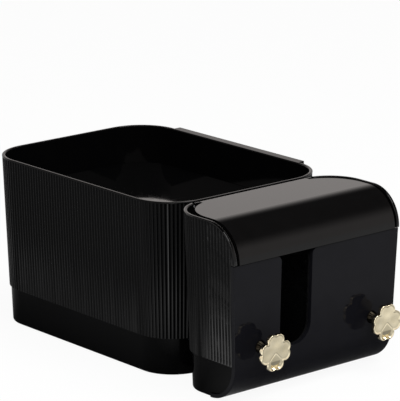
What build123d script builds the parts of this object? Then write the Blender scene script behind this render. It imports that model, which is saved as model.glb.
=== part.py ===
from build123d import *
import math
import os

# A desk organiser of two moulded units that stand one behind the other: an open, fluted brush tub
# at the back, and at the front a fluted case with a hinged curved lid and one deep drawer.
# Millimetres. X runs to the right along the front, Y runs to the back, Z is up, the table is Z = 0.
# The model is drawn with the case's front left top corner over X = 0, Y = 0, then moved so that
# the origin is the middle of the whole footprint.

# ---- overall sizes ----
UNIT_WIDTH = 160.0          # both units, over the fluting, at the rim
RIM_HEIGHT = 132.0          # both rims above the table
CASE_DEPTH = 73.0           # front case, front to back, at the rim
TUB_DEPTH = 218.1           # brush tub, front to back, at the rim
UNIT_GAP = 0.6              # between the two rims
DRAFT_ANGLE = 1.97          # every outer wall leans in by this towards the table, in degrees
WALL = 2.6                  # crest of the fluting to the inner face
FLOOR = 3.0                 # floor of both shells
FOOT_THICK = 0.8            # the shells stand this far off the table, on pads stuck under them

# ---- fluting ----
RIB_PITCH = 3.2
RIB_DEPTH = 0.8
BAND_HEIGHT = 28.9          # plain band at the foot of each wall
BAND_INSET = 1.4            # the band lies this far inside the rim's outline
RIM_CAP = 1.2               # smooth edge over the ribs
RIM_PROUD = 0.15            # the smooth edge stands this far outside the crests
BOTTOM_ROUND = 1.2
RIM_ROUND = 0.8             # both edges of the rims

# ---- brush tub ----
TUB_CORNER = 34.2
LEDGE_WIDTH = 5.0           # ledge outside the right wall, level with the rim
LEDGE_SKIN = 1.6
LEDGE_DROP = 6.0            # its turned-down outer edge
LEDGE_CORNER_GAP = 2.0      # from the end of the corner to the end of the ledge
DECK_HEIGHT = 102.0         # top of the raised floor above the table
DECK_THICK = 2.2
DECK_SKIRT = 1.8
DECK_LIFT = 0.1             # skirt over the floor it stands on
DECK_CLEAR = 0.5            # raised floor to the tub's inner faces
NUT_WINDOW = 16.0           # openings in the skirt, round the nuts of the fixings

# ---- front case ----
CASE_CORNER = 30.0
LID_ARC = 27.8              # curve from the flat top to the upright front
FOOT_ARC = 27.2             # curve at the bottom of the drawer front
PANEL_THICK = 3.0
PANEL_EDGE_ROUND = 0.8
PANEL_CLEAR = 0.4           # drawer front to the case's front edges
CASE_OVERRUN = 6.0          # side walls drawn past the front, before the side profile cuts them
HINGE_GAP_INSET = 22.0      # from the case's sides to the cut in its back wall for the hinge
HINGE_GAP_DEPTH = 8.0
HINGE_GAP_REACH = 12.0      # how far in from the back the cut starts

# ---- lid ----
LID_SINK = 0.1              # the lid's top lies this far under the rim
LID_THICK = 2.4
LID_SIDE_INSET = 5.6        # lid's side edge from the outside of the case
LID_CORNER = 32.0
LID_BACK_STEP = 2.0         # lid's corners lie this far in front of the hinge axis
LID_OVER_PANEL = 0.6        # lid's lower edge over the drawer front's top edge
HINGE_RADIUS = 2.6
HINGE_BACK = 0.2            # back of the hinge barrel to the back of the case
HINGE_INSET = 28.8          # from the case's sides to the ends of the lid's hinge barrel
EAR_WIDTH = 4.4
EAR_CLEAR = 0.4
EAR_FRONT_ROOM = 0.8        # left in the lid in front of each ear
PIN_DIAMETER = 2.0
PIN_LENGTH = 10.0
PIN_END_ROOM = 1.0          # left past the inner end of each pin
PIN_FIT = 0.03              # radial clearance round the hinge pins
REST_REACH = 4.4            # rest for the lid, from the inner face of the side wall
REST_THICK = 3.0
REST_LENGTH = 14.0
REST_BEHIND_ARC = 3.0       # from the end of the curve to the rest
BUMPER_DIAMETER = 2.6
BUMPER_HEIGHT = 0.8
BUMPER_UNDER_LID = 0.7      # the bumper's middle lies this far under the lid's side edge
BUMPER_CLEAR = 0.2

# ---- drawer ----
TRAY_SIDE_CLEAR = 2.0
TRAY_BACK_CLEAR = 2.4
TRAY_WALL = 1.8
TRAY_FLOOR = 2.0
TRAY_CORNER = 22.0
TRAY_TOP_DROP = 6.0         # tray's rim below the drawer front's top edge
SLOT_WIDTH = 29.4
SLOT_CENTRE = 60.1          # from the left side of the case
SLOT_BOTTOM = 35.0          # lowest point above the table
SLOT_MOUTH_ROUND = 4.0
PAD_WELL = 61.0             # clear width between the two dividers
DIVIDER_THICK = 1.6
DIVIDER_CLEAR = 0.2
DIVIDER_LIFT = 0.05
DIVIDER_HEIGHT = 88.0
STOP_PROUD = 1.3            # stops stand this far out of the tray and of the case
STOP_THICK = 2.0
STOP_GAP = 0.4              # left between the stops when the drawer is open
CASE_STOP_FRONT = 5.6       # from the front of the case to its stops
TRAY_STOP_BACK = 1.0        # from the tray's rear corner to its stops
STOP_LOW = 72.0
STOP_HIGH = 92.0
GLIDE_WIDTH = 9.0
GLIDE_THICK = 0.5
GLIDE_INSET = 22.0          # glide's middle from the side of the case
GLIDE_CLEAR = 0.3
GLIDE_START = 4.0           # from the front edge of the case's floor
GLIDE_END = 11.0            # from the case's back

# ---- knobs ----
KNOB_LEFT_INSET = 27.6      # from the left side of the case
KNOB_RIGHT_INSET = 24.8     # from its right side
KNOB_HEIGHT = 40.2
KNOB_STANDOFF = 15.2        # drawer front to the middle of the clover plate
LEAF_REACH = 8.6            # middle of a lobe from the knob's middle, along the leaf
LEAF_SPREAD = 2.6           # and to its side
LOBE_RADIUS = 4.85
LEAF_RIM = 0.75             # raised edge round the clover
LEAF_SINK = 0.5
CLOVER_THICK = 2.8
CLOVER_MIDDLE = 4.0         # radius of the flat middle
STEM_FOOT_DIAMETER = 10.0
STEM_NECK_DIAMETER = 6.6
STEM_HEAD_DIAMETER = 9.0
STEM_FOOT_THICK = 1.6
STEM_SINK = 0.2             # the stem runs this far into the plate
KNOB_SCREW_DIAMETER = 4.0
KNOB_SCREW_HEAD = 7.6
KNOB_SCREW_HEAD_THICK = 2.2
KNOB_SCREW_GRIP = 7.0       # thread inside the knob
KNOB_SCREW_END_ROOM = 1.0   # from the screw's tip to the end of its hole
KNOB_SCREW_ROOM = 1.0       # left round the screw head where a divider passes it
DRIVE_LENGTH = 4.4          # cross in the screw head
DRIVE_WIDTH = 0.9
DRIVE_DEPTH = 0.9
SCREW_FIT = 0.05
SCREW_HOLE_CLEAR = 0.2
WASHER_DIAMETER = 9.5
WASHER_THICK = 0.8

# ---- fixings between the units ----
LINK_HALF = 38.0            # half the distance between the two fixings
LINK_HEIGHT = 62.0
LINK_PAD_DIAMETER = 14.0
LINK_PAD_THICK = 1.6
LINK_SCREW_DIAMETER = 4.0
LINK_HEAD = 9.0
LINK_HEAD_THICK = 1.4
LINK_NUT = 7.0              # across the flats
LINK_NUT_THICK = 3.2
LINK_FIT = 0.2              # between each wall and the head or nut on it
LINK_SCREW_END = 1.0        # screw past its nut

# ---- feet ----
FOOT_DIAMETER = 10.0
FOOT_INSET = 27.0           # foot's middle from the sides of its unit
FOOT_CLEAR = 2.0            # case's front feet to the front edge of its floor
FOOT_BACK = 16.0            # case's rear feet from its back

# ---- worked out from the sizes above ----
LEAN = math.tan(math.radians(DRAFT_ANGLE))
MIDDLE = UNIT_WIDTH / 2
TUB_FRONT = CASE_DEPTH + UNIT_GAP
TUB_BACK = TUB_FRONT + TUB_DEPTH
SHELL_BOTTOM = FOOT_THICK
FLOOR_TOP = SHELL_BOTTOM + FLOOR
PANEL_TOP = RIM_HEIGHT - LID_ARC - LID_OVER_PANEL
HINGE_HALF = MIDDLE - HINGE_INSET
HINGE_Z = RIM_HEIGHT - LID_SINK - HINGE_RADIUS
KNOB_LEFT = KNOB_LEFT_INSET
KNOB_RIGHT = UNIT_WIDTH - KNOB_RIGHT_INSET
HINGE_Y = CASE_DEPTH - HINGE_BACK - HINGE_RADIUS
TRAY_BOTTOM = FLOOR_TOP + GLIDE_THICK + GLIDE_CLEAR
TRAY_TOP = PANEL_TOP - TRAY_TOP_DROP

# ---- drawing helps, which leave no trace in the pieces ----
FAR = 400.0
OVERCUT = 5.0               # cutting bodies start this far outside what they cut
PAST = 1.0                  # or this far, in a tight place
NEAR = 0.01                 # tolerance for picking edges by height
EDGE_NEAR = 0.1             # and by distance from a face


def inset_at(z):
    """How far every outer wall has moved in at height z."""
    return LEAN * (RIM_HEIGHT - z)


# ---- outlines in plan ----
def plan_pieces(outline, inset=0.0):
    """Straight runs and corners of a rounded rectangle, anticlockwise from the front left. The
    outline is its four sides and its front and rear corner radii. A corner whose radius is used
    up by the inset becomes sharp."""
    x0, x1, y0, y1 = outline[0] + inset, outline[1] - inset, outline[2] + inset, outline[3] - inset
    fr, rr = max(outline[4] - inset, 0), max(outline[5] - inset, 0)
    return [
        ("line", (x0 + fr, y0), (x1 - fr, y0), (0, -1)),
        ("arc", (x1 - fr, y0 + fr), fr, -90),
        ("line", (x1, y0 + fr), (x1, y1 - rr), (1, 0)),
        ("arc", (x1 - rr, y1 - rr), rr, 0),
        ("line", (x1 - rr, y1), (x0 + rr, y1), (0, 1)),
        ("arc", (x0 + rr, y1 - rr), rr, 90),
        ("line", (x0, y1 - rr), (x0, y0 + fr), (-1, 0)),
        ("arc", (x0 + fr, y0 + fr), fr, 180),
    ]


def piece_length(piece):
    if piece[0] == "line":
        return math.dist(piece[1], piece[2])
    return piece[2] * math.pi / 2


def piece_point(piece, part, inset, z):
    """Point a share of the way along a piece, moved inwards by the inset."""
    if piece[0] == "line":
        (ax, ay), (bx, by), (nx, ny) = piece[1:]
        return Vector(ax + (bx - ax) * part - nx * inset, ay + (by - ay) * part - ny * inset, z)
    (cx, cy), radius, start = piece[1:]
    turn = math.radians(start + 90 * part)
    reach = radius - inset
    return Vector(cx + reach * math.cos(turn), cy + reach * math.sin(turn), z)


def smooth_wire(outline, inset, z):
    """Plain outline, moved inwards by the inset."""
    edges = []
    for piece in plan_pieces(outline, inset):
        start, end = piece_point(piece, 0, 0, z), piece_point(piece, 1, 0, z)
        if piece[0] == "line":
            edges.append(Edge.make_line(start, end))
        elif piece[2] > 0:
            edges.append(Edge.make_three_point_arc(start, piece_point(piece, 0.5, 0, z), end))
    return Wire(edges)


def rib_edges(pieces, inset, z):
    """Convex ribs along the given pieces, whose crests lie on the plain outline."""
    edges = []
    for piece in pieces:
        count = max(1, round(piece_length(piece) / RIB_PITCH))
        for k in range(count):
            start = piece_point(piece, k / count, inset + RIB_DEPTH, z)
            crest = piece_point(piece, (k + 0.5) / count, inset, z)
            end = piece_point(piece, (k + 1) / count, inset + RIB_DEPTH, z)
            edges.append(Edge.make_three_point_arc(start, crest, end))
    return edges


def ruled_solid(wires):
    return Part() + Solid.make_loft(wires, ruled=True)


def leaning_solid(outline, extra_inset, z0, z1):
    """Solid between two heights whose sides follow the walls' draft."""
    return ruled_solid([smooth_wire(outline, inset_at(z) + extra_inset, z) for z in (z0, z1)])


def rounded_foot(solid, z0):
    """Round the bottom edges of a solid that starts at height z0."""
    edges = solid.edges().filter_by_position(Axis.Z, z0 - NEAR, z0 + NEAR)
    return fillet(edges, BOTTOM_ROUND)


# ---- small helpers ----
def box_between(x0, x1, y0, y1, z0, z1):
    middle = ((x0 + x1) / 2, (y0 + y1) / 2, (z0 + z1) / 2)
    return Pos(*middle) * Box(x1 - x0, y1 - y0, z1 - z0)


def rod_x(x0, x1, y, z, radius):
    return Pos((x0 + x1) / 2, y, z) * Rot(0, 90, 0) * Cylinder(radius, x1 - x0)


def rod_y(x, y0, y1, z, radius):
    return Pos(x, (y0 + y1) / 2, z) * Rot(90, 0, 0) * Cylinder(radius, y1 - y0)


def rod_z(x, y, z0, z1, radius):
    return Pos(x, y, (z0 + z1) / 2) * Cylinder(radius, z1 - z0)


def side_extrusion(points_and_arcs, x0, x1):
    """Closed outline in Y and Z, as lines and three-point arcs, drawn from x0 to x1."""
    edges = []
    for step in points_and_arcs:
        points = [Vector(x0, y, z) for y, z in step]
        if len(points) == 2:
            edges.append(Edge.make_line(*points))
        else:
            edges.append(Edge.make_three_point_arc(*points))
    face = Face(Wire(edges))
    return Part() + Solid.extrude(face, Vector(x1 - x0, 0, 0))


def quarter(centre, radius, start):
    """Start, middle and end of a quarter turn in Y and Z, from a start angle in degrees."""
    turns = [math.radians(start + k * 45) for k in range(3)]
    return [(centre[0] + radius * math.cos(t), centre[1] + radius * math.sin(t)) for t in turns]


def group(solids):
    return Compound(children=[s.solid() if hasattr(s, "solid") else s for s in solids])


# ---- side profile of the front unit ----
def front_y(z):
    """The drawer front's outer face, which leans with the walls."""
    return inset_at(z)


def foot_centre():
    """Y and Z of the middle of the curve at the bottom of the drawer front."""
    z = SHELL_BOTTOM + FOOT_ARC
    return front_y(z) + FOOT_ARC, z


def floor_front():
    """Front edge of the case's floor, behind the curled foot."""
    return foot_centre()[0] + PANEL_CLEAR


def case_profile(shrink):
    """Side view of the case: flat top, curve to the front, and the curved foot behind the drawer
    front. The shrink moves the top and the upper curve in, for the ribs under the rim."""
    top = RIM_HEIGHT - shrink
    centre_z = RIM_HEIGHT - LID_ARC
    arc_radius = LID_ARC - shrink
    upper = quarter((LID_ARC, centre_z), arc_radius, 90)
    step_y = front_y(centre_z) + PANEL_THICK + PANEL_CLEAR
    lower = quarter(foot_centre(), FOOT_ARC - PANEL_THICK - PANEL_CLEAR, 180)
    floor_y = floor_front()
    back = CASE_DEPTH + PAST
    return [
        [(back, top), upper[0]],
        upper,
        [upper[2], (step_y, centre_z)],
        [(step_y, centre_z), lower[0]],
        lower,
        [lower[2], (floor_y, lower[2][1])],
        [(floor_y, lower[2][1]), (floor_y, SHELL_BOTTOM)],
        [(floor_y, SHELL_BOTTOM), (back, SHELL_BOTTOM)],
        [(back, SHELL_BOTTOM), (back, top)],
    ]


# ---- pieces of the rear unit ----
def tub_outline():
    return (0, UNIT_WIDTH, TUB_FRONT, TUB_BACK, TUB_CORNER, TUB_CORNER)


def tub_ribs(z0, z1):
    pieces = plan_pieces(tub_outline())
    return ruled_solid([Wire(rib_edges(pieces, inset_at(z) + RIM_PROUD, z)) for z in (z0, z1)])


def link_places():
    return [MIDDLE - LINK_HALF, MIDDLE + LINK_HALF]


def link_middle():
    """Y of the plane where the two units are clamped together."""
    return CASE_DEPTH + UNIT_GAP / 2


def foot_places(y_front, y_back):
    xs = (FOOT_INSET, UNIT_WIDTH - FOOT_INSET)
    return [(x, y) for x in xs for y in (y_front, y_back)]


def tub_foot_places():
    return foot_places(TUB_FRONT + FOOT_INSET, TUB_BACK - FOOT_INSET)


def case_foot_places():
    return foot_places(floor_front() + FOOT_CLEAR + FOOT_DIAMETER / 2, CASE_DEPTH - FOOT_BACK)


def side_ledge():
    """Ledge along the straight of the right wall, turned down at its outer edge."""
    end = TUB_CORNER + LEDGE_CORNER_GAP
    y0, y1 = TUB_FRONT + end, TUB_BACK - end
    outside = UNIT_WIDTH + LEDGE_WIDTH
    top = box_between(UNIT_WIDTH - WALL / 2, outside, y0, y1, RIM_HEIGHT - LEDGE_SKIN, RIM_HEIGHT)
    edge = box_between(outside - LEDGE_SKIN, outside, y0, y1, RIM_HEIGHT - LEDGE_DROP, RIM_HEIGHT)
    return top + edge


def tub_shell():
    outline = tub_outline()
    band = rounded_foot(leaning_solid(outline, BAND_INSET, SHELL_BOTTOM, BAND_HEIGHT), SHELL_BOTTOM)
    ribs = tub_ribs(BAND_HEIGHT, RIM_HEIGHT - RIM_CAP)
    room = leaning_solid(outline, WALL, FLOOR_TOP, RIM_HEIGHT + PAST)
    rim = leaning_solid(outline, 0, RIM_HEIGHT - RIM_CAP, RIM_HEIGHT) - room
    rim = fillet(rim.edges().filter_by_position(Axis.Z, RIM_HEIGHT - NEAR, RIM_HEIGHT + NEAR), RIM_ROUND)
    shell = (band + ribs - room) + rim
    shell += side_ledge()
    front_face = TUB_FRONT + inset_at(LINK_HEIGHT)
    for x in link_places():
        shell += rod_y(x, link_middle() + LINK_PAD_THICK / 2, front_face + WALL / 2, LINK_HEIGHT,
                       LINK_PAD_DIAMETER / 2)
    for x in link_places():
        shell -= rod_y(x, 0, front_face + WALL + OVERCUT, LINK_HEIGHT,
                       LINK_SCREW_DIAMETER / 2 + SCREW_HOLE_CLEAR)
    return shell


def raised_floor():
    """Drop-in false floor: a deck on a skirt that stands on the tub's own floor."""
    outline = tub_outline()
    outer = WALL + DECK_CLEAR
    body = leaning_solid(outline, outer, FLOOR_TOP + DECK_LIFT, DECK_HEIGHT)
    body -= leaning_solid(outline, outer + DECK_SKIRT, FLOOR_TOP, DECK_HEIGHT - DECK_THICK)
    front = TUB_FRONT + inset_at(LINK_HEIGHT)
    back = front + WALL + DECK_CLEAR + DECK_SKIRT + LINK_NUT_THICK
    half = NUT_WINDOW / 2
    for x in link_places():
        body -= box_between(x - half, x + half, front, back, LINK_HEIGHT - half, LINK_HEIGHT + half)
    return body


def feet(places):
    return group([rod_z(x, y, 0, FOOT_THICK, FOOT_DIAMETER / 2) for x, y in places])


# ---- pieces of the front unit ----
def case_outline():
    """The side walls run on past the front, where the side profile cuts them."""
    return (0, UNIT_WIDTH, -CASE_OVERRUN, CASE_DEPTH, 0.0, CASE_CORNER)


def case_ribs(z0, z1):
    """The three ribbed sides, closed by a straight run across the front."""
    wires = []
    for z in (z0, z1):
        edges = rib_edges(plan_pieces(case_outline())[2:7], inset_at(z) + RIM_PROUD, z)
        wires.append(Wire(edges + [Edge.make_line(edges[-1] @ 1, edges[0] @ 0)]))
    return ruled_solid(wires)


def rim_edges(rim):
    """Edges of the case's rim that run along its top and down its front curve."""
    chosen = []
    for edge in rim.edges():
        points = [edge @ share for share in (0.1, 0.5, 0.9)]
        if all(abs(rim_depth(point)) < RIM_CAP / 4 for point in points):
            chosen.append(edge)
    return chosen


def rim_depth(point):
    """How far a point lies under the case's top and front curve."""
    centre_z = RIM_HEIGHT - LID_ARC
    if point.Y > LID_ARC:
        return RIM_HEIGHT - point.Z
    return LID_ARC - math.hypot(point.Y - LID_ARC, point.Z - centre_z)


def front_case():
    whole = side_extrusion(case_profile(0), -OVERCUT, UNIT_WIDTH + OVERCUT)
    under_rim = side_extrusion(case_profile(RIM_CAP), -OVERCUT, UNIT_WIDTH + OVERCUT)
    outline = case_outline()
    band = rounded_foot(leaning_solid(outline, BAND_INSET, SHELL_BOTTOM, BAND_HEIGHT), SHELL_BOTTOM)
    ribs = case_ribs(BAND_HEIGHT, RIM_HEIGHT)
    smooth = leaning_solid(outline, 0, BAND_HEIGHT, RIM_HEIGHT)
    inside = (0, UNIT_WIDTH, -3 * CASE_OVERRUN, CASE_DEPTH, 0.0, CASE_CORNER)
    room = leaning_solid(inside, WALL, FLOOR_TOP, RIM_HEIGHT + PAST)
    rim = (smooth & (whole - under_rim)) - room
    rim = fillet(rim_edges(rim), RIM_ROUND)
    body = (band & whole) + (ribs & under_rim) - room + rim
    # the back wall is cut down for the hinge, and carries two ears for its pins
    body -= box_between(HINGE_GAP_INSET, UNIT_WIDTH - HINGE_GAP_INSET, CASE_DEPTH - HINGE_GAP_REACH,
                        CASE_DEPTH + PAST, RIM_HEIGHT - HINGE_GAP_DEPTH, FAR)
    for side in (-1, 1):
        body += hinge_ear(side)
    for side in (-1, 1):
        body += lid_rest(side)
    back_face = CASE_DEPTH - inset_at(LINK_HEIGHT)
    for x in link_places():
        body += rod_y(x, back_face - WALL / 2, link_middle() - LINK_PAD_THICK / 2, LINK_HEIGHT,
                      LINK_PAD_DIAMETER / 2)
    for x in link_places():
        body -= rod_y(x, back_face - WALL - OVERCUT, CASE_DEPTH + OVERCUT, LINK_HEIGHT,
                      LINK_SCREW_DIAMETER / 2 + SCREW_HOLE_CLEAR)
    return body + case_stops()


def case_stops():
    """Upright ribs inside the front ends of the side walls, which hold the open drawer."""
    y0 = CASE_STOP_FRONT
    slab = box_between(0, UNIT_WIDTH, y0, y0 + STOP_THICK, STOP_LOW, STOP_HIGH)
    outline = case_outline()
    wall = leaning_solid(outline, WALL / 2, STOP_LOW - PAST, STOP_HIGH + PAST)
    return slab & (wall - leaning_solid(outline, WALL + STOP_PROUD, STOP_LOW - OVERCUT, STOP_HIGH + OVERCUT))


def ear_span(side):
    near = MIDDLE + side * (HINGE_HALF + EAR_CLEAR)
    return sorted((near, near + side * EAR_WIDTH))


def hinge_ear(side):
    """Lug on the back wall that holds one hinge pin."""
    x0, x1 = ear_span(side)
    foot_z = RIM_HEIGHT - HINGE_GAP_DEPTH - 2 * HINGE_RADIUS
    wall_y = CASE_DEPTH - inset_at(foot_z) - WALL / 2
    ear = rod_x(x0, x1, HINGE_Y, HINGE_Z, HINGE_RADIUS)
    outline = [
        [(HINGE_Y - HINGE_RADIUS, HINGE_Z), (HINGE_Y + HINGE_RADIUS, HINGE_Z)],
        [(HINGE_Y + HINGE_RADIUS, HINGE_Z), (wall_y, foot_z)],
        [(wall_y, foot_z), (HINGE_Y - HINGE_RADIUS, HINGE_Z)],
    ]
    ear += side_extrusion(outline, x0, x1)
    return ear - rod_x(x0 - PAST, x1 + PAST, HINGE_Y, HINGE_Z, PIN_DIAMETER / 2 + PIN_FIT / 2)


def rest_top():
    return RIM_HEIGHT - LID_SINK - LID_THICK - BUMPER_HEIGHT - BUMPER_CLEAR


def lid_rest(side):
    """Rest on the inner face of a side wall, which the closed lid rests over."""
    y0 = LID_ARC + REST_BEHIND_ARC
    reach = inset_at(rest_top()) + WALL + REST_REACH
    xs = sorted((MIDDLE + side * (MIDDLE - WALL), MIDDLE + side * (MIDDLE - reach)))
    return box_between(*xs, y0, y0 + REST_LENGTH, rest_top() - REST_THICK, rest_top())


def lid_bumpers():
    dots = []
    for side in (-1, 1):
        x = MIDDLE + side * (MIDDLE - LID_SIDE_INSET - BUMPER_UNDER_LID)
        y = LID_ARC + REST_BEHIND_ARC + REST_LENGTH / 2
        dots.append(rod_z(x, y, rest_top(), rest_top() + BUMPER_HEIGHT, BUMPER_DIAMETER / 2))
    return group(dots)


def hinge_pin(side):
    x0, x1 = ear_span(side)
    if side < 0:
        return rod_x(x0, x0 + PIN_LENGTH, HINGE_Y, HINGE_Z, PIN_DIAMETER / 2)
    return rod_x(x1 - PIN_LENGTH, x1, HINGE_Y, HINGE_Z, PIN_DIAMETER / 2)


def lid():
    """Curved cover with a hinge barrel along its back edge."""
    top = RIM_HEIGHT - LID_SINK
    low = RIM_HEIGHT - LID_ARC
    outer = quarter((LID_ARC, low), LID_ARC - LID_SINK, 90)
    inner = quarter((LID_ARC, low), LID_ARC - LID_SINK - LID_THICK, 90)
    outline = [
        [(HINGE_Y, top), outer[0]],
        outer,
        [outer[2], inner[2]],
        inner[::-1],
        [inner[0], (HINGE_Y, top - LID_THICK)],
        [(HINGE_Y, top - LID_THICK), (HINGE_Y, top)],
    ]
    cover = side_extrusion(outline, LID_SIDE_INSET, UNIT_WIDTH - LID_SIDE_INSET)
    # in plan the back corners are rounded and stop short of the hinge axis
    plan = (LID_SIDE_INSET, UNIT_WIDTH - LID_SIDE_INSET, -LID_ARC, HINGE_Y - LID_BACK_STEP, 0.0,
            LID_CORNER)
    keep = Part() + Solid.extrude(Face(smooth_wire(plan, 0, 0)), Vector(0, 0, FAR))
    tongue = box_between(MIDDLE - HINGE_HALF, MIDDLE + HINGE_HALF, 0, HINGE_Y, 0, FAR)
    cover = cover & (keep + tongue)
    barrel = rod_x(MIDDLE - HINGE_HALF, MIDDLE + HINGE_HALF, HINGE_Y, HINGE_Z, HINGE_RADIUS)
    cover += barrel
    for side in (-1, 1):
        x0, x1 = ear_span(side)
        relief = box_between(x0 - EAR_CLEAR, x1 + EAR_CLEAR, HINGE_Y - HINGE_RADIUS - EAR_FRONT_ROOM,
                             FAR, 0, FAR)
        cover -= relief
        end = MIDDLE + side * HINGE_HALF
        depth = PIN_LENGTH - EAR_WIDTH + PIN_END_ROOM
        cover -= rod_x(min(end, end - side * depth), max(end, end - side * depth), HINGE_Y, HINGE_Z,
                       PIN_DIAMETER / 2 + PIN_FIT)
    return cover


# ---- pieces of the drawer ----
def slot_cut(y0, y1, mouth):
    """Pad slot: open at the top, round at the bottom, with flared corners at its mouth."""
    half = SLOT_WIDTH / 2
    round_z = SLOT_BOTTOM + half
    cut = box_between(SLOT_CENTRE - half, SLOT_CENTRE + half, y0, y1, round_z, FAR)
    cut += rod_y(SLOT_CENTRE, y0, y1, round_z, half)
    for side in (-1, 1):
        edge = SLOT_CENTRE + side * half
        corner = box_between(min(edge, edge + side * SLOT_MOUTH_ROUND),
                             max(edge, edge + side * SLOT_MOUTH_ROUND), y0, y1,
                             mouth - SLOT_MOUTH_ROUND, FAR)
        corner -= rod_y(edge + side * SLOT_MOUTH_ROUND, y0 - PAST, y1 + PAST, mouth - SLOT_MOUTH_ROUND,
                        SLOT_MOUTH_ROUND)
        cut += corner
    return cut


def outer_side_edges(panel):
    """The two upright edges of the drawer front, with their run round the foot."""
    centre_y, centre_z = foot_centre()
    chosen = []
    for edge in panel.edges():
        middle = edge @ 0.5
        at_side = abs(abs(middle.X - MIDDLE) - (MIDDLE - inset_at(middle.Z))) < EDGE_NEAR
        reach = math.hypot(middle.Y - centre_y, middle.Z - centre_z)
        on_face = abs(middle.Y - front_y(middle.Z)) < EDGE_NEAR and middle.Z > centre_z
        on_curve = abs(reach - FOOT_ARC) < EDGE_NEAR and middle.Z < centre_z
        if at_side and (on_face or on_curve):
            chosen.append(edge)
    return chosen


def drawer_front():
    """Full-width front that leans with the walls and curls under at the foot."""
    outer = quarter(foot_centre(), FOOT_ARC, 180)
    inner = quarter(foot_centre(), FOOT_ARC - PANEL_THICK, 180)
    top_y = front_y(PANEL_TOP)
    outline = [
        [(top_y, PANEL_TOP), outer[0]],
        outer,
        [outer[2], inner[2]],
        inner[::-1],
        [inner[0], (top_y + PANEL_THICK, PANEL_TOP)],
        [(top_y + PANEL_THICK, PANEL_TOP), (top_y, PANEL_TOP)],
    ]
    panel = side_extrusion(outline, 0, UNIT_WIDTH)
    # its two upright edges follow the draft of the side walls
    for side in (-1, 1):
        x_top = MIDDLE + side * (MIDDLE - inset_at(RIM_HEIGHT))
        x_low = MIDDLE + side * (MIDDLE - inset_at(0))
        far = MIDDLE + side * FAR
        points = [(x_low, -PAST, 0), (far, -PAST, 0), (far, -PAST, RIM_HEIGHT), (x_top, -PAST, RIM_HEIGHT)]
        face = Face(Wire.make_polygon([Vector(*p) for p in points]))
        panel -= Part() + Solid.extrude(face, Vector(0, FAR, 0))
    panel = fillet(outer_side_edges(panel), PANEL_EDGE_ROUND)
    panel -= slot_cut(-OVERCUT, FOOT_ARC + OVERCUT, PANEL_TOP)
    for x in (KNOB_LEFT, KNOB_RIGHT):
        panel -= on_panel(x) * knob_hole()
    return panel


def on_panel(x):
    """Place on the drawer front's outer face at knob height; local +Z points out of the front."""
    return Location((x, front_y(KNOB_HEIGHT), KNOB_HEIGHT), (90 + DRAFT_ANGLE, 0, 0))


def knob_hole():
    reach = PANEL_THICK + TRAY_WALL + 2 * PAST
    return Pos(0, 0, PAST - reach / 2) * Cylinder(KNOB_SCREW_DIAMETER / 2 + SCREW_HOLE_CLEAR, reach)


def tray_outline():
    """Tray outline at the rim height; the draft is applied as for the walls."""
    side = WALL + TRAY_SIDE_CLEAR
    back = CASE_DEPTH - WALL - TRAY_BACK_CLEAR
    return (side, UNIT_WIDTH - side, PANEL_THICK, back, 0.0, TRAY_CORNER)


def tray_stop_y():
    """Front of the stops at the back end of the tray's straight sides."""
    return tray_outline()[3] - TRAY_CORNER - TRAY_STOP_BACK - STOP_THICK


def drawer_travel():
    """How far the drawer slides out before its stops meet the case's."""
    return tray_stop_y() - STOP_GAP - CASE_STOP_FRONT - STOP_THICK


def outside_curl(skin):
    """What lies outside the curve at the foot, with this much left for the drawer front."""
    arc = quarter(foot_centre(), FOOT_ARC - skin, 180)
    front = -FOOT_ARC
    outline = [
        arc,
        [arc[2], (front, arc[2][1])],
        [(front, arc[2][1]), (front, arc[0][1])],
        [(front, arc[0][1]), arc[0]],
    ]
    return side_extrusion(outline, -OVERCUT, UNIT_WIDTH + OVERCUT)


def drawer_tray():
    outline = tray_outline()
    body = leaning_solid(outline, 0, TRAY_BOTTOM, TRAY_TOP)
    stops = leaning_solid(outline, -STOP_PROUD, STOP_LOW, STOP_HIGH)
    body += stops & box_between(0, UNIT_WIDTH, tray_stop_y(), tray_stop_y() + STOP_THICK, 0, FAR)
    body -= leaning_solid(outline, TRAY_WALL, TRAY_BOTTOM + TRAY_FLOOR, TRAY_TOP + PAST)
    body -= outside_curl(PANEL_THICK)
    body -= slot_cut(-OVERCUT, FOOT_ARC, PANEL_TOP)
    for x in (KNOB_LEFT, KNOB_RIGHT):
        body -= on_panel(x) * knob_hole()
    return body


def pad_divider(side):
    """Upright plate beside the slot that keeps the pads in one stack."""
    x0 = SLOT_CENTRE + side * (PAD_WELL + DIVIDER_THICK) / 2 - DIVIDER_THICK / 2
    low = TRAY_BOTTOM + TRAY_FLOOR + DIVIDER_LIFT
    top = low + DIVIDER_HEIGHT
    plate = box_between(x0, x0 + DIVIDER_THICK, 0, CASE_DEPTH, low, top)
    room = leaning_solid(tray_outline(), TRAY_WALL + DIVIDER_CLEAR, low - PAST, top + PAST)
    plate = (plate & room) - outside_curl(PANEL_THICK + DIVIDER_CLEAR)
    for x in (KNOB_LEFT, KNOB_RIGHT):
        plate -= on_panel(x) * knob_screw_room()
    return plate


def knob_screw_room():
    """Space round a knob's washer and screw head, inside the tray."""
    depth = PANEL_THICK + TRAY_WALL + WASHER_THICK + KNOB_SCREW_HEAD_THICK + KNOB_SCREW_ROOM
    return Pos(0, 0, -depth / 2) * Cylinder(WASHER_DIAMETER / 2 + KNOB_SCREW_ROOM, depth)


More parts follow.
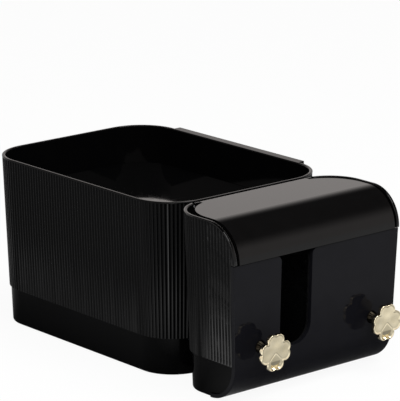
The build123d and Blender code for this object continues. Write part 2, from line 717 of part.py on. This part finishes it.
def leaf_face(shrink):
    """One heart-shaped leaf that points along +Y: two lobes and the tangents to them from the
    knob's middle, all moved in by the shrink."""
    radius = LOBE_RADIUS - shrink
    to_lobe = math.hypot(LEAF_SPREAD, LEAF_REACH)
    lean = math.atan2(LEAF_SPREAD, LEAF_REACH) + math.asin(LOBE_RADIUS / to_lobe)
    root = (0, shrink / math.sin(lean))
    touch_x = LEAF_SPREAD + radius * math.cos(lean)
    touch_y = LEAF_REACH - radius * math.sin(lean)
    notch = LEAF_REACH + math.sqrt(max(radius ** 2 - LEAF_SPREAD ** 2, 0))
    kite = Polygon(root, (touch_x, touch_y), (LEAF_SPREAD, LEAF_REACH), (0, notch),
                   (-LEAF_SPREAD, LEAF_REACH), (-touch_x, touch_y), align=None)
    lobes = [Pos(side * LEAF_SPREAD, LEAF_REACH) * Circle(radius) for side in (-1, 1)]
    return Sketch() + kite + lobes


def four_leaves(shrink):
    leaf = leaf_face(shrink)
    return [Rot(0, 0, 90 * turn) * leaf for turn in range(4)]


def knob(x):
    """Cast clover on a waisted stem, with a tapped hole from the back."""
    back = KNOB_STANDOFF - CLOVER_THICK / 2
    clover = extrude(Sketch() + four_leaves(0) + Circle(CLOVER_MIDDLE), CLOVER_THICK)
    sunk = extrude(Sketch() + four_leaves(LEAF_RIM) + Circle(CLOVER_MIDDLE), LEAF_SINK + PAST)
    clover = Pos(0, 0, back) * (clover - Pos(0, 0, CLOVER_THICK - LEAF_SINK) * sunk)
    stem_top = back + STEM_SINK
    foot, neck, head = (d / 2 for d in (STEM_FOOT_DIAMETER, STEM_NECK_DIAMETER, STEM_HEAD_DIAMETER))
    with BuildPart() as stem:
        with BuildSketch(Plane.XZ):
            with BuildLine():
                Line((0, 0), (foot, 0))
                Line((foot, 0), (foot, STEM_FOOT_THICK))
                ThreePointArc((foot, STEM_FOOT_THICK), (neck, STEM_FOOT_THICK + back / 3),
                              (head, stem_top))
                Line((head, stem_top), (0, stem_top))
                Line((0, stem_top), (0, 0))
            make_face()
        revolve(axis=Axis.Z)
    body = clover + stem.part
    thread = Cylinder(KNOB_SCREW_DIAMETER / 2 + SCREW_FIT, KNOB_SCREW_GRIP + PAST)
    body -= Pos(0, 0, (KNOB_SCREW_GRIP - PAST) / 2) * thread
    return on_panel(x) * body


def knob_screw(x):
    """Pan head inside the drawer; the thread ends inside the knob."""
    seat = -(PANEL_THICK + TRAY_WALL + WASHER_THICK)
    tip = KNOB_SCREW_GRIP - KNOB_SCREW_END_ROOM
    shank = Pos(0, 0, (seat + tip) / 2) * Cylinder(KNOB_SCREW_DIAMETER / 2, tip - seat)
    head = Pos(0, 0, seat - KNOB_SCREW_HEAD_THICK / 2) * Cylinder(KNOB_SCREW_HEAD / 2,
                                                                 KNOB_SCREW_HEAD_THICK)
    head = fillet(head.faces().sort_by(Axis.Z)[0].edges(), KNOB_SCREW_HEAD_THICK / 2)
    cross = Box(DRIVE_LENGTH, DRIVE_WIDTH, 2 * DRIVE_DEPTH) + Box(DRIVE_WIDTH, DRIVE_LENGTH, 2 * DRIVE_DEPTH)
    drive = Pos(0, 0, seat - KNOB_SCREW_HEAD_THICK) * cross
    return on_panel(x) * (shank + head - drive)


def knob_washer(x):
    middle = -(PANEL_THICK + TRAY_WALL + WASHER_THICK / 2)
    ring = Cylinder(WASHER_DIAMETER / 2, WASHER_THICK)
    ring -= Cylinder(KNOB_SCREW_DIAMETER / 2 + SCREW_HOLE_CLEAR, WASHER_THICK + PAST)
    return on_panel(x) * Pos(0, 0, middle) * ring


def drawer_glides():
    y0 = floor_front() + GLIDE_START
    strips = []
    for x in (GLIDE_INSET, UNIT_WIDTH - GLIDE_INSET):
        strips.append(box_between(x - GLIDE_WIDTH / 2, x + GLIDE_WIDTH / 2, y0, CASE_DEPTH - GLIDE_END,
                                  FLOOR_TOP, FLOOR_TOP + GLIDE_THICK))
    return group(strips)


# ---- fixings between the units ----
def link_screws():
    back_face = CASE_DEPTH - inset_at(LINK_HEIGHT) - WALL
    front_face = TUB_FRONT + inset_at(LINK_HEIGHT) + WALL
    y_head = back_face - LINK_FIT
    y_end = front_face + LINK_FIT + LINK_NUT_THICK + LINK_SCREW_END
    screws = []
    for x in link_places():
        shank = rod_y(x, y_head - LINK_HEAD_THICK, y_end, LINK_HEIGHT, LINK_SCREW_DIAMETER / 2)
        head = rod_y(x, y_head - LINK_HEAD_THICK, y_head, LINK_HEIGHT, LINK_HEAD / 2)
        screws.append(shank + head)
    return group(screws)


def link_pads():
    y0 = link_middle() - LINK_PAD_THICK / 2
    rings = []
    for x in link_places():
        ring = rod_y(x, y0, y0 + LINK_PAD_THICK, LINK_HEIGHT, LINK_PAD_DIAMETER / 2)
        ring -= rod_y(x, y0 - PAST, y0 + LINK_PAD_THICK + PAST, LINK_HEIGHT,
                      LINK_SCREW_DIAMETER / 2 + SCREW_HOLE_CLEAR)
        rings.append(ring)
    return group(rings)


def link_nuts():
    y0 = TUB_FRONT + inset_at(LINK_HEIGHT) + WALL + LINK_FIT
    nuts = []
    for x in link_places():
        hexagon = RegularPolygon(LINK_NUT / 2, 6, major_radius=False)
        hexagon -= Circle(LINK_SCREW_DIAMETER / 2 + SCREW_FIT)
        nut = extrude(Plane((x, y0, LINK_HEIGHT), z_dir=(0, 1, 0)) * hexagon, LINK_NUT_THICK)
        nuts.append(nut)
    return group(nuts)


# ---- write every piece ----
def all_nodes():
    return {
        "tub_shell": tub_shell(),
        "raised_floor": raised_floor(),
        "tub_feet": feet(tub_foot_places()),
        "front_case": front_case(),
        "case_feet": feet(case_foot_places()),
        "link_screws": link_screws(),
        "link_pads": link_pads(),
        "link_nuts": link_nuts(),
        "lid": lid(),
        "lid_hinge_pin_left": hinge_pin(-1),
        "lid_hinge_pin_right": hinge_pin(1),
        "lid_bumpers": lid_bumpers(),
        "drawer_front": drawer_front(),
        "drawer_tray": drawer_tray(),
        "pad_divider_left": pad_divider(-1),
        "pad_divider_right": pad_divider(1),
        "knob_left": knob(KNOB_LEFT),
        "knob_right": knob(KNOB_RIGHT),
        "knob_screws": group([knob_screw(KNOB_LEFT), knob_screw(KNOB_RIGHT)]),
        "knob_washers": group([knob_washer(KNOB_LEFT), knob_washer(KNOB_RIGHT)]),
        "drawer_glides": drawer_glides(),
    }


def to_origin(nodes):
    """Move to the middle of the footprint of everything, on the table."""
    middle = Compound(children=list(nodes)).bounding_box().center()
    return Location((-middle.X, -middle.Y, 0))


os.makedirs("parts", exist_ok=True)
nodes = all_nodes()
shift = to_origin([shape.moved(Location()) for shape in nodes.values()])
for name, shape in nodes.items():
    export_step(shift * shape, f"parts/{name}.step")
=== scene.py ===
import math

import bpy
import numpy as np
from mathutils import Matrix, Vector


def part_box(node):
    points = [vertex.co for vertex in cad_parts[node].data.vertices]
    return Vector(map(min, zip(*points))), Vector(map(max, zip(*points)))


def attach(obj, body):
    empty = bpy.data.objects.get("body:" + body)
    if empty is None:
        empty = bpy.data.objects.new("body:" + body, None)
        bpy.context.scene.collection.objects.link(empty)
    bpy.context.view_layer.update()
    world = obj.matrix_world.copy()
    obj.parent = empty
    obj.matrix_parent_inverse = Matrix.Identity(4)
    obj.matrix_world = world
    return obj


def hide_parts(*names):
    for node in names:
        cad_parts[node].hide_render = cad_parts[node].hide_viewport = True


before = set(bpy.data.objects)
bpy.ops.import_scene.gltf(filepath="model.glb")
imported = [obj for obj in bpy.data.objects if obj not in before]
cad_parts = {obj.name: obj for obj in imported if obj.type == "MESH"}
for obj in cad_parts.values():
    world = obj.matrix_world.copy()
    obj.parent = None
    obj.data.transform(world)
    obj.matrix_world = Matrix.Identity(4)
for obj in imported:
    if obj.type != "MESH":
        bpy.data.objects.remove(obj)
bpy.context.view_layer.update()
MM = 0.001

# ---- the photograph's camera, solved from the object's outlines ----
PHOTO_WIDTH = 400
FOCAL_PIXELS = 2776.1
SENSOR = 36.0
VIEW_END = 20.0
YAW = math.radians(40.153)          # the camera stands to the left of the front
PITCH = math.radians(14.847)        # and looks down
ROLL = math.radians(-0.257)
CAMERA_FROM_CORNER = Vector((-1.2031, -1.3902, 0.6393))    # from the case's front left corner


def make_camera():
    data = bpy.data.cameras.new("photo_camera")
    data.sensor_fit = "HORIZONTAL"
    data.sensor_width = SENSOR
    data.lens = FOCAL_PIXELS / PHOTO_WIDTH * SENSOR
    data.clip_end = VIEW_END
    camera = bpy.data.objects.new("photo_camera", data)
    bpy.context.scene.collection.objects.link(camera)
    look = Vector((math.sin(YAW) * math.cos(PITCH), math.cos(YAW) * math.cos(PITCH), -math.sin(PITCH)))
    level = Vector((math.cos(YAW), -math.sin(YAW), 0))
    rise = level.cross(look)
    right = level * math.cos(ROLL) + rise * math.sin(ROLL)
    up = rise * math.cos(ROLL) - level * math.sin(ROLL)
    turn = Matrix((right, up, -look)).transposed().to_4x4()
    case_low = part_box("front_case")[0]
    corner = Vector((case_low[0], case_low[1], 0))
    camera.matrix_world = Matrix.Translation(corner + CAMERA_FROM_CORNER) @ turn
    bpy.context.scene.camera = camera


# ---- node helpers ----
def new_material(name):
    material = bpy.data.materials.new(name)
    material.use_nodes = True
    tree = material.node_tree
    tree.nodes.clear()
    out = tree.nodes.new("ShaderNodeOutputMaterial")
    shader = tree.nodes.new("ShaderNodeBsdfPrincipled")
    tree.links.new(shader.outputs["BSDF"], out.inputs["Surface"])
    return material, tree, shader


def add(tree, kind, **settings):
    node = tree.nodes.new(kind)
    for key, value in settings.items():
        if key in node.inputs:
            node.inputs[key].default_value = value
        else:
            setattr(node, key, value)
    return node


def object_place(tree):
    """Place on the object, in metres."""
    return tree.nodes.new("ShaderNodeTexCoord").outputs["Object"]


def object_axis(tree, axis):
    split = tree.nodes.new("ShaderNodeSeparateXYZ")
    tree.links.new(object_place(tree), split.inputs[0])
    return split.outputs[axis]


def noise(tree, scale, detail):
    """Noise in object space, in metres."""
    node = add(tree, "ShaderNodeTexNoise", Scale=scale, Detail=detail)
    tree.links.new(object_place(tree), node.inputs["Vector"])
    return node.outputs["Fac"]


NOISE_LOW = 0.3                     # noise rarely leaves this range
NOISE_HIGH = 0.7


def remap(tree, value, low, high, from_low=NOISE_LOW, from_high=NOISE_HIGH):
    node = add(tree, "ShaderNodeMapRange")
    node.inputs["From Min"].default_value = from_low
    node.inputs["From Max"].default_value = from_high
    node.inputs["To Min"].default_value = low
    node.inputs["To Max"].default_value = high
    tree.links.new(value, node.inputs["Value"])
    return node.outputs["Result"]


def bump(tree, shader, height, strength, distance):
    node = add(tree, "ShaderNodeBump")
    node.inputs["Strength"].default_value = strength
    node.inputs["Distance"].default_value = distance
    tree.links.new(height, node.inputs["Height"])
    tree.links.new(node.outputs["Normal"], shader.inputs["Normal"])


def black_plastic(name, colour, specular, rough_low, rough_high, ripple):
    """Moulded black plastic: faint flow ripple, dust and handling marks in its gloss."""
    material, tree, shader = new_material(name)
    shader.inputs["IOR"].default_value = 1.5
    shader.inputs["Specular IOR Level"].default_value = specular
    tint = add(tree, "ShaderNodeMix", data_type="RGBA")
    tint.inputs["A"].default_value = (*colour, 1)
    tint.inputs["B"].default_value = (*[c * 1.5 for c in colour], 1)
    tree.links.new(noise(tree, 90, 4.0), tint.inputs["Factor"])
    tree.links.new(tint.outputs["Result"], shader.inputs["Base Color"])
    marks = noise(tree, 160, 6.0)
    tree.links.new(remap(tree, marks, rough_low, rough_high), shader.inputs["Roughness"])
    bump(tree, shader, noise(tree, 14, 1.0), ripple, 0.0006)
    return material


# ---- fluted plastic ----
CREST_GLOSS = 0.28                  # the ribs' crests are shinier, after the photograph
PLAIN_GLOSS = 0.055                 # than the grooves and plain walls
CREST_FROM = 0.51                   # pointiness where the extra gloss starts, and where it is full
CREST_TO = 0.54
BAND_TOP = 28.9 * MM                # the plain band at the foot of the walls ends here


def burnish_crests(material):
    """More gloss on the crests of the fluting than on plain walls and in the grooves."""
    tree = material.node_tree
    shader = next(n for n in tree.nodes if n.type == "BSDF_PRINCIPLED")
    point = tree.nodes.new("ShaderNodeNewGeometry").outputs["Pointiness"]
    over_band = add(tree, "ShaderNodeMath", operation="GREATER_THAN")
    over_band.inputs[1].default_value = BAND_TOP
    tree.links.new(object_axis(tree, "Z"), over_band.inputs[0])
    fluted = add(tree, "ShaderNodeMath", operation="MULTIPLY")
    tree.links.new(point, fluted.inputs[0])
    tree.links.new(over_band.outputs[0], fluted.inputs[1])
    gloss = remap(tree, fluted.outputs[0], PLAIN_GLOSS, CREST_GLOSS, CREST_FROM, CREST_TO)
    tree.links.new(gloss, shader.inputs["Specular IOR Level"])


# ---- small parts ----
def plain_metal(name, colour, rough_low, rough_high):
    """Turned steel with faint uneven polish."""
    material, tree, shader = new_material(name)
    shader.inputs["Metallic"].default_value = 1.0
    shader.inputs["Base Color"].default_value = (*colour, 1)
    tree.links.new(remap(tree, noise(tree, 900, 4.0), rough_low, rough_high), shader.inputs["Roughness"])
    bump(tree, shader, noise(tree, 1500, 2.0), 0.15, 0.0001)
    return material


def matt_stuff(name, colour, roughness):
    """Rubber or film with a fine grain."""
    material, tree, shader = new_material(name)
    tint = add(tree, "ShaderNodeMix", data_type="RGBA")
    tint.inputs["A"].default_value = (*[c * 0.8 for c in colour], 1)
    tint.inputs["B"].default_value = (*[c * 1.2 for c in colour], 1)
    tree.links.new(noise(tree, 700, 3.0), tint.inputs["Factor"])
    tree.links.new(tint.outputs["Result"], shader.inputs["Base Color"])
    shader.inputs["Roughness"].default_value = roughness
    bump(tree, shader, noise(tree, 2500, 2.0), 0.2, 0.0001)
    return material


# ---- light and background ----
HORIZON_WHITE = (1.0, 0.94, 0.91)
OVERHEAD_DARK = (0.010, 0.010, 0.011)
FADE_FROM = 0.25                    # sine of the elevation where the bright band round the studio ends
FADE_TO = 0.64                      # and where the dark ceiling begins
FILL_LIGHT = 0.45


def make_world():
    """Bright band round the horizon under a dark ceiling, with an even fill for matt surfaces."""
    world = bpy.data.worlds.new("studio")
    bpy.context.scene.world = world
    world.use_nodes = True
    tree = world.node_tree
    tree.nodes.clear()
    out = tree.nodes.new("ShaderNodeOutputWorld")
    direction = add(tree, "ShaderNodeTexCoord").outputs["Generated"]
    split = add(tree, "ShaderNodeSeparateXYZ")
    tree.links.new(direction, split.inputs[0])
    ramp = add(tree, "ShaderNodeMapRange", interpolation_type="SMOOTHSTEP")
    ramp.inputs["From Min"].default_value = FADE_FROM
    ramp.inputs["From Max"].default_value = FADE_TO
    tree.links.new(split.outputs["Z"], ramp.inputs["Value"])
    tone = add(tree, "ShaderNodeMix", data_type="RGBA")
    tone.inputs["A"].default_value = (*HORIZON_WHITE, 1)
    tone.inputs["B"].default_value = (*OVERHEAD_DARK, 1)
    tree.links.new(ramp.outputs["Result"], tone.inputs["Factor"])
    seen = add(tree, "ShaderNodeBackground", Strength=1.0)
    tree.links.new(tone.outputs["Result"], seen.inputs["Color"])
    fill = add(tree, "ShaderNodeBackground", Strength=FILL_LIGHT)
    fill.inputs["Color"].default_value = (1, 1, 1, 1)
    mix = tree.nodes.new("ShaderNodeMixShader")
    tree.links.new(ray_seen(tree), mix.inputs["Fac"])
    tree.links.new(fill.outputs[0], mix.inputs[1])
    tree.links.new(seen.outputs[0], mix.inputs[2])
    tree.links.new(mix.outputs[0], out.inputs["Surface"])


def ray_seen(tree):
    """One for camera, glossy and transmission rays."""
    path = tree.nodes.new("ShaderNodeLightPath")
    total = path.outputs["Is Camera Ray"]
    for name in ("Is Glossy Ray", "Is Transmission Ray"):
        node = add(tree, "ShaderNodeMath", operation="ADD", use_clamp=True)
        tree.links.new(total, node.inputs[0])
        tree.links.new(path.outputs[name], node.inputs[1])
        total = node.outputs[0]
    return total


FLOOR_SIZE = 12.0
FLOOR_SHADE = 0.9
FLOOR_GLOW = 0.93                   # share of plain white in what the camera sees of the floor
# what the object mirrors of the floor is set apart from the white floor in view
MIRRORED_NEAR = 0.12                # painted shadow: brightness beside the foot of the object, seen only in reflections
MIRRORED_FAR = 1.0                  # and away from it
MIRRORED_REACH = 0.16               # over this distance
FOOTPRINT_HALF = (0.075, 0.140, 10.0)    # the height leaves Z out of the distance
STREAK_FROM = (-0.07, -0.06, 0)     # a painted bright strip of floor, seen only in reflections, runs from here towards the camera
STREAK_ACROSS = (math.cos(YAW), -math.sin(YAW), 0)
STREAK_ALONG = (-math.sin(YAW), -math.cos(YAW), 0)
STREAK_HALF = 0.08                  # half its width
STREAK_START = 0.03                 # it begins this far along, and is full from here
STREAK_FULL = 0.15
STREAK_GAIN = 2.6                   # painted highlight: brightness the strip adds
BACK_SHARE = 0.6                    # painted shade: brightness left at the back, as a share
BACK_FROM = -0.06                   # the fall to it, from front to back
BACK_TO = 0.16


def distance_along(tree, axis):
    """Distance from the start of the bright strip, along an axis on the floor."""
    shift = add(tree, "ShaderNodeVectorMath", operation="SUBTRACT")
    shift.inputs[1].default_value = STREAK_FROM
    tree.links.new(object_place(tree), shift.inputs[0])
    dot = add(tree, "ShaderNodeVectorMath", operation="DOT_PRODUCT")
    dot.inputs[1].default_value = axis
    tree.links.new(shift.outputs[0], dot.inputs[0])
    return dot.outputs["Value"]


def mirrored_floor(tree):
    """Brightness of the floor as the object mirrors it: painted shadow beside the object's foot and
    towards the back, and a painted bright strip towards the camera.
    """
    place = object_place(tree)
    for operation, value in (("ABSOLUTE", None), ("SUBTRACT", FOOTPRINT_HALF), ("MAXIMUM", (0, 0, 0))):
        node = add(tree, "ShaderNodeVectorMath", operation=operation)
        if value:
            node.inputs[1].default_value = value
        tree.links.new(place, node.inputs[0])
        place = node.outputs[0]
    away = add(tree, "ShaderNodeVectorMath", operation="LENGTH")
    tree.links.new(place, away.inputs[0])
    painted_shadow_near_foot = remap(tree, away.outputs["Value"], MIRRORED_NEAR, MIRRORED_FAR, 0, MIRRORED_REACH)
    even = add(tree, "ShaderNodeMath", operation="MULTIPLY")
    tree.links.new(painted_shadow_near_foot, even.inputs[0])
    tree.links.new(remap(tree, object_axis(tree, "Y"), 1, BACK_SHARE, BACK_FROM, BACK_TO), even.inputs[1])
    painted_bright_strip = add(tree, "ShaderNodeMath", operation="MULTIPLY")
    across = add(tree, "ShaderNodeMath", operation="ABSOLUTE")
    tree.links.new(distance_along(tree, STREAK_ACROSS), across.inputs[0])
    tree.links.new(remap(tree, across.outputs[0], 1, 0, 0, STREAK_HALF), painted_bright_strip.inputs[0])
    along = distance_along(tree, STREAK_ALONG)
    tree.links.new(remap(tree, along, 0, 1, STREAK_START, STREAK_FULL), painted_bright_strip.inputs[1])
    total = add(tree, "ShaderNodeMath", operation="MULTIPLY_ADD")
    total.inputs[1].default_value = STREAK_GAIN
    tree.links.new(painted_bright_strip.outputs[0], total.inputs[0])
    tree.links.new(even.outputs[0], total.inputs[2])
    return total.outputs[0]


def make_floor():
    half = FLOOR_SIZE / 2
    mesh = bpy.data.meshes.new("floor")
    mesh.from_pydata([(-half, -half, 0), (half, -half, 0), (half, half, 0), (-half, half, 0)], [],
                     [(0, 1, 2, 3)])
    floor = bpy.data.objects.new("floor", mesh)
    bpy.context.scene.collection.objects.link(floor)
    material, tree, shader = new_material("floor_white")
    shader.inputs["Base Color"].default_value = (FLOOR_SHADE, FLOOR_SHADE, FLOOR_SHADE, 1)
    shader.inputs["Roughness"].default_value = 0.9
    shader.inputs["Specular IOR Level"].default_value = 0.0
    path = tree.nodes.new("ShaderNodeLightPath")
    glow = tree.nodes.new("ShaderNodeEmission")
    glow.inputs["Color"].default_value = (1, 1, 1, 1)
    # for glossy rays only, the floor glows with the painted shadow and painted bright strip of
    # mirrored_floor
    strength = add(tree, "ShaderNodeMath", operation="MULTIPLY_ADD")
    tree.links.new(mirrored_floor(tree), strength.inputs[0])
    tree.links.new(path.outputs["Is Glossy Ray"], strength.inputs[1])
    tree.links.new(path.outputs["Is Camera Ray"], strength.inputs[2])
    tree.links.new(strength.outputs[0], glow.inputs["Strength"])
    share = add(tree, "ShaderNodeMath", operation="MULTIPLY_ADD", use_clamp=True)
    share.inputs[1].default_value = FLOOR_GLOW
    tree.links.new(path.outputs["Is Camera Ray"], share.inputs[0])
    tree.links.new(path.outputs["Is Glossy Ray"], share.inputs[2])
    mix = tree.nodes.new("ShaderNodeMixShader")
    out = next(n for n in tree.nodes if n.type == "OUTPUT_MATERIAL")
    tree.links.new(share.outputs[0], mix.inputs["Fac"])
    tree.links.new(shader.outputs["BSDF"], mix.inputs[1])
    tree.links.new(glow.outputs[0], mix.inputs[2])
    tree.links.new(mix.outputs[0], out.inputs["Surface"])
    mesh.materials.append(material)


LIGHT_AIM = (0, 0, 0.05)


def area_light(name, place, side, power):
    """Square light in watts, aimed at the object."""
    data = bpy.data.lights.new(name, "AREA")
    data.shape = "RECTANGLE"
    data.size, data.size_y = side, side
    data.energy = power
    light = bpy.data.objects.new(name, data)
    bpy.context.scene.collection.objects.link(light)
    light.location = place
    light.rotation_euler = (Vector(LIGHT_AIM) - Vector(place)).to_track_quat("-Z", "Y").to_euler()


def set_material(node, material):
    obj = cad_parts[node]
    for slot in obj.material_slots:
        slot.material = material


# ---- gold clover knobs ----
DRAFT = math.radians(1.97)          # the drawer front leans by this
LEAF_REACH = 8.55 * MM
LEAF_SPREAD = 2.6 * MM
LOBE_RADIUS = 4.8 * MM
PLATE_THICK = 2.8 * MM
EDGE_ROUND = 0.45 * MM
RIM_WIDTH = 0.9 * MM
RIM_RISE = 0.42 * MM
DISH_DEPTH = 0.16 * MM
DISH_RADIUS = 5.4 * MM
DISH_AT = 7.6 * MM
FOLD_DEPTH = 0.16 * MM
FOLD_WIDTH = 0.6 * MM
FOLD_LENGTH = 8.4 * MM
HOLLOW_TOP = 6.4 * MM               # the bottom leaf falls back below this
HOLLOW_HALF = 4.2 * MM
HOLLOW_SLOPE = 0.36
STEM_FOOT = 5.0 * MM
STEM_NECK = 3.3 * MM
STEM_HEAD = 4.5 * MM
LEAVES = 4
FOLD_END = 2.0 * MM                 # a fold fades out over this
HOLLOW_EDGE = 0.5 * MM
ROUND_STEPS = 192
PLATE_RINGS = 30
RING_SPREAD = 0.85                  # under one, the rings lie closer towards the plate's edge
BEND_STEPS = 5                      # for each rounded edge of the plate
STEM_STEPS = 12
STEM_WAIST = 1.5                    # higher, and the waist is shorter
STEM_END = 0.0001 * MM              # radius where the stem closes


def clover_outline(turn):
    """Distance from the knob's middle to its edge, on rays at these turns."""
    reach = np.zeros_like(turn)
    for quarter in range(LEAVES):
        for side in (-1, 1):
            axis = quarter * math.pi / 2
            cx = LEAF_REACH * math.cos(axis) - side * LEAF_SPREAD * math.sin(axis)
            cy = LEAF_REACH * math.sin(axis) + side * LEAF_SPREAD * math.cos(axis)
            along = cx * np.cos(turn) + cy * np.sin(turn)
            inside = LOBE_RADIUS ** 2 - cx ** 2 - cy ** 2 + along ** 2
            hit = np.where(inside >= 0, along + np.sqrt(np.maximum(inside, 0)), 0)
            reach = np.maximum(reach, hit)
    return reach


def smooth_step(value):
    t = np.clip(value, 0, 1)
    return t * t * (3 - 2 * t)


def clover_relief(x, y, edge):
    """Height of the front face: raised rim, dished leaves, two folds and the bottom leaf's hollow."""
    points = np.stack([x, y], -1)
    to_edge = np.sqrt(((points[:, None, :] - edge[None, :, :]) ** 2).sum(-1)).min(1)
    height = RIM_RISE * smooth_step(1 - (to_edge - EDGE_ROUND) / RIM_WIDTH)
    for quarter in range(LEAVES):
        axis = quarter * math.pi / 2
        away = np.hypot(x - DISH_AT * math.cos(axis), y - DISH_AT * math.sin(axis))
        height -= DISH_DEPTH * smooth_step(1 - away / DISH_RADIUS)
    fold = np.minimum(abs(x - y), abs(x + y)) / math.sqrt(2)
    near = smooth_step((FOLD_LENGTH - np.hypot(x, y)) / FOLD_END) * (y < 0)
    height -= FOLD_DEPTH * near * np.clip(1 - fold / FOLD_WIDTH, 0, 1)
    inside = smooth_step((to_edge - RIM_WIDTH) / HOLLOW_EDGE) * (abs(x) < HOLLOW_HALF)
    return height - HOLLOW_SLOPE * np.clip(-y - HOLLOW_TOP, 0, None) * inside


def clover_knob(name, node):
    """Clover plate on a waisted stem, in the place of the plain knob."""
    low, high = (Vector(v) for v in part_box(node))
    turn = np.linspace(0, 2 * math.pi, ROUND_STEPS, endpoint=False)
    reach = clover_outline(turn)
    edge = np.stack([reach * np.cos(turn), reach * np.sin(turn)], -1)
    step = np.roll(edge, -1, 0) - np.roll(edge, 1, 0)
    outward = np.stack([step[:, 1], -step[:, 0]], -1)
    outward /= np.linalg.norm(outward, axis=1, keepdims=True)
    rings = []
    inner = edge - outward * EDGE_ROUND
    for k in range(1, PLATE_RINGS + 1):
        ring = inner * (k / PLATE_RINGS) ** RING_SPREAD
        rings.append((ring, clover_relief(ring[:, 0], ring[:, 1], edge)))
    for k in range(1, BEND_STEPS + 1):
        bend = math.pi / 2 * k / BEND_STEPS
        ring = edge - outward * EDGE_ROUND * (1 - math.sin(bend))
        rings.append((ring, np.full(ROUND_STEPS, RIM_RISE - EDGE_ROUND * (1 - math.cos(bend)))))
    for k in range(BEND_STEPS + 1):
        bend = math.pi / 2 * k / BEND_STEPS
        ring = edge - outward * EDGE_ROUND * (1 - math.cos(bend))
        rings.append((ring, np.full(ROUND_STEPS, EDGE_ROUND * (1 - math.sin(bend)) - PLATE_THICK)))
    lean = (high.z - low.z) / 2 * math.sin(DRAFT)
    lathe = stem_profile(high.y - low.y - PLATE_THICK - lean)
    for radius, depth in lathe:
        circle = np.stack([radius * np.cos(turn), radius * np.sin(turn)], -1)
        rings.append((circle, np.full(ROUND_STEPS, -PLATE_THICK - depth)))
    centre_height = clover_relief(np.array([0.0]), np.array([0.0]), edge)[0]
    vertices = [(0, 0, centre_height)]
    for ring, height in rings:
        vertices += [(x, y, z) for (x, y), z in zip(ring, height)]
    faces = [(0, 1 + k, 1 + (k + 1) % ROUND_STEPS) for k in range(ROUND_STEPS)]
    for j in range(len(rings) - 1):
        for k in range(ROUND_STEPS):
            a = 1 + j * ROUND_STEPS + k
            b = 1 + j * ROUND_STEPS + (k + 1) % ROUND_STEPS
            faces.append((a, a + ROUND_STEPS, b + ROUND_STEPS, b))
    mesh = bpy.data.meshes.new(name)
    mesh.from_pydata(vertices, [], faces)
    # marks the stem, which gets a painted dark reflection in its colour
    on_stem = mesh.attributes.new("on_stem", "FLOAT", "POINT")
    plate_count = len(vertices) - len(lathe) * ROUND_STEPS
    on_stem.data.foreach_set("value", [float(k >= plate_count) for k in range(len(vertices))])
    knob = bpy.data.objects.new(name, mesh)
    bpy.context.scene.collection.objects.link(knob)
    front = Vector(((low.x + high.x) / 2, low.y + RIM_RISE + lean, (low.z + high.z) / 2))
    turn_out = Matrix.Rotation(math.pi / 2 + DRAFT, 4, "X")
    mesh.transform(Matrix.Translation(front) @ turn_out)
    for polygon in mesh.polygons:
        polygon.use_smooth = True
    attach(knob, "drawer")
    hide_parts(node)
    return knob


def stem_profile(length):
    """Radius and depth behind the plate, from the plate's back to the drawer front."""
    points = []
    for k in range(STEM_STEPS + 1):
        share = k / STEM_STEPS
        waist = math.sin(math.pi * share) ** STEM_WAIST
        wide = STEM_HEAD + (STEM_FOOT - STEM_HEAD) * share
        points.append((wide + (STEM_NECK - wide) * waist, length * share))
    points.append((STEM_END, length))
    return points


def gold():
    """Pale polished gold, with a painted dark reflection on the stem."""
    material, tree, shader = new_material("pale_gold")
    shader.inputs["Metallic"].default_value = 1.0
    tint = add(tree, "ShaderNodeMix", data_type="RGBA")
    tint.inputs["A"].default_value = (0.86, 0.77, 0.56, 1)
    tint.inputs["B"].default_value = (0.82, 0.72, 0.50, 1)
    tree.links.new(remap(tree, noise(tree, 220, 3.0), 0, 1), tint.inputs["Factor"])
    stem = add(tree, "ShaderNodeAttribute", attribute_name="on_stem")
    colour = add(tree, "ShaderNodeMix", data_type="RGBA")
    # painted reflection: the stem is coloured nearly black to stand in for the dark drawer front it
    # mirrors
    colour.inputs["B"].default_value = (0.06, 0.05, 0.035, 1)
    tree.links.new(tint.outputs["Result"], colour.inputs["A"])
    tree.links.new(stem.outputs["Fac"], colour.inputs["Factor"])
    tree.links.new(colour.outputs["Result"], shader.inputs["Base Color"])
    tree.links.new(remap(tree, noise(tree, 400, 5.0), 0.05, 0.12), shader.inputs["Roughness"])
    bump(tree, shader, noise(tree, 350, 2.0), 0.06, 0.0002)
    return material


make_camera()
make_world()
make_floor()
area_light("key", (0.2, -0.9, 1.9), 1.0, 24)
area_light("front_soft", (-0.9, -1.0, 1.3), 1.2, 12)

lid_black = black_plastic("polished_lid", (0.0030, 0.0028, 0.0028), 0.17, 0.03, 0.07, 0.05)
front_black = black_plastic("polished_front", (0.0045, 0.0045, 0.0058), 0.07, 0.02, 0.05, 0.05)
fluted_black = black_plastic("fluted_black", (0.0012, 0.0012, 0.0013), PLAIN_GLOSS, 0.03, 0.06, 0.05)
burnish_crests(fluted_black)
tray_black = black_plastic("satin_tray", (0.0050, 0.0050, 0.0054), 0.25, 0.22, 0.34, 0.05)
steel = plain_metal("plain_steel", (0.52, 0.52, 0.53), 0.22, 0.38)
rubber = matt_stuff("black_rubber", (0.018, 0.018, 0.018), 0.75)
film = matt_stuff("glide_film", (0.55, 0.55, 0.53), 0.42)
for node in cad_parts:
    set_material(node, fluted_black)
for node in ("drawer_tray", "pad_divider_left", "pad_divider_right"):
    set_material(node, tray_black)
for node in ("link_screws", "link_nuts", "knob_screws", "knob_washers", "lid_hinge_pin_left",
             "lid_hinge_pin_right"):
    set_material(node, steel)
for node in ("tub_feet", "case_feet", "link_pads", "lid_bumpers"):
    set_material(node, rubber)
set_material("drawer_glides", film)
set_material("lid", lid_black)
set_material("drawer_front", front_black)
pale_gold = gold()
for side in ("left", "right"):
    clover_knob(f"clover_{side}", f"knob_{side}").data.materials.append(pale_gold)

bpy.context.scene.view_settings.view_transform = "Standard"
